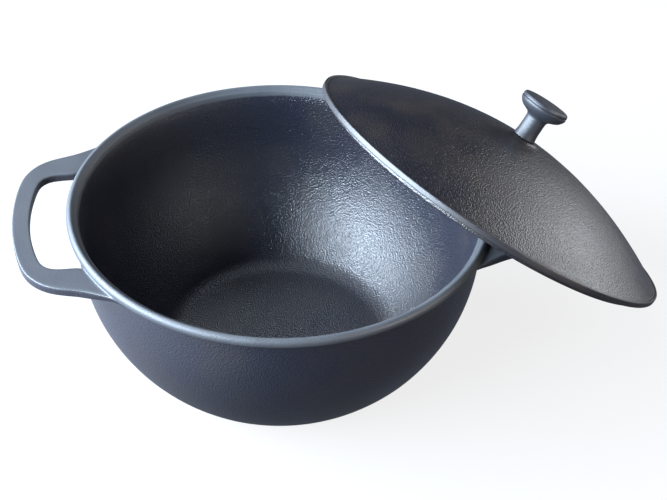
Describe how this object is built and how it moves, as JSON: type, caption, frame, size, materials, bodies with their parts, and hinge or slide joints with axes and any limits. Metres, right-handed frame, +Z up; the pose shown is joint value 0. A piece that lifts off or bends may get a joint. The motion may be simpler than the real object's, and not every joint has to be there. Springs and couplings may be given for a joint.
{
  "type": "cast iron dutch oven",
  "caption": "Round cast iron dutch oven: deep bowl with loop handles, and a domed lid with a mushroom knob leaning on its rim.",
  "frame": {"origin": "centre of the pot's flat underside, on the surface it stands on", "axes": "+Z up, X through both loop handles, with the lid leaning towards +X; the front of the pot faces -Y"},
  "size_m": [0.4394, 0.3034, 0.1783],
  "materials": {
    "pot_iron": "seasoned sand-cast iron, satin, fine orange-peel grain",
    "lid_iron": "seasoned sand-cast iron, satin, fine orange-peel grain",
    "knob_iron": "seasoned iron, machined smooth, satin",
    "fastener_steel": "plain zinc-plated steel"
  },
  "bodies": {
    "pot": {"pot_body": "pot_iron"},
    "lid": {"lid": "lid_iron"},
    "knob": {"knob": "knob_iron", "knob_screw": "fastener_steel", "flat_washer": "fastener_steel", "lock_washer": "fastener_steel"}
  },
  "joints": [
    {"name": "lid_lift", "type": "slide", "parent": "pot", "child": "lid", "axis": [0.5363, 0.1952, 0.8212], "range_m": [0, 0.2]},
    {"name": "knob_turn", "type": "hinge", "parent": "lid", "child": "knob", "pos_m": [0.15258, 0.03195, 0.10053], "axis": [0.5363, 0.1952, 0.8212], "continuous": true}
  ]
}
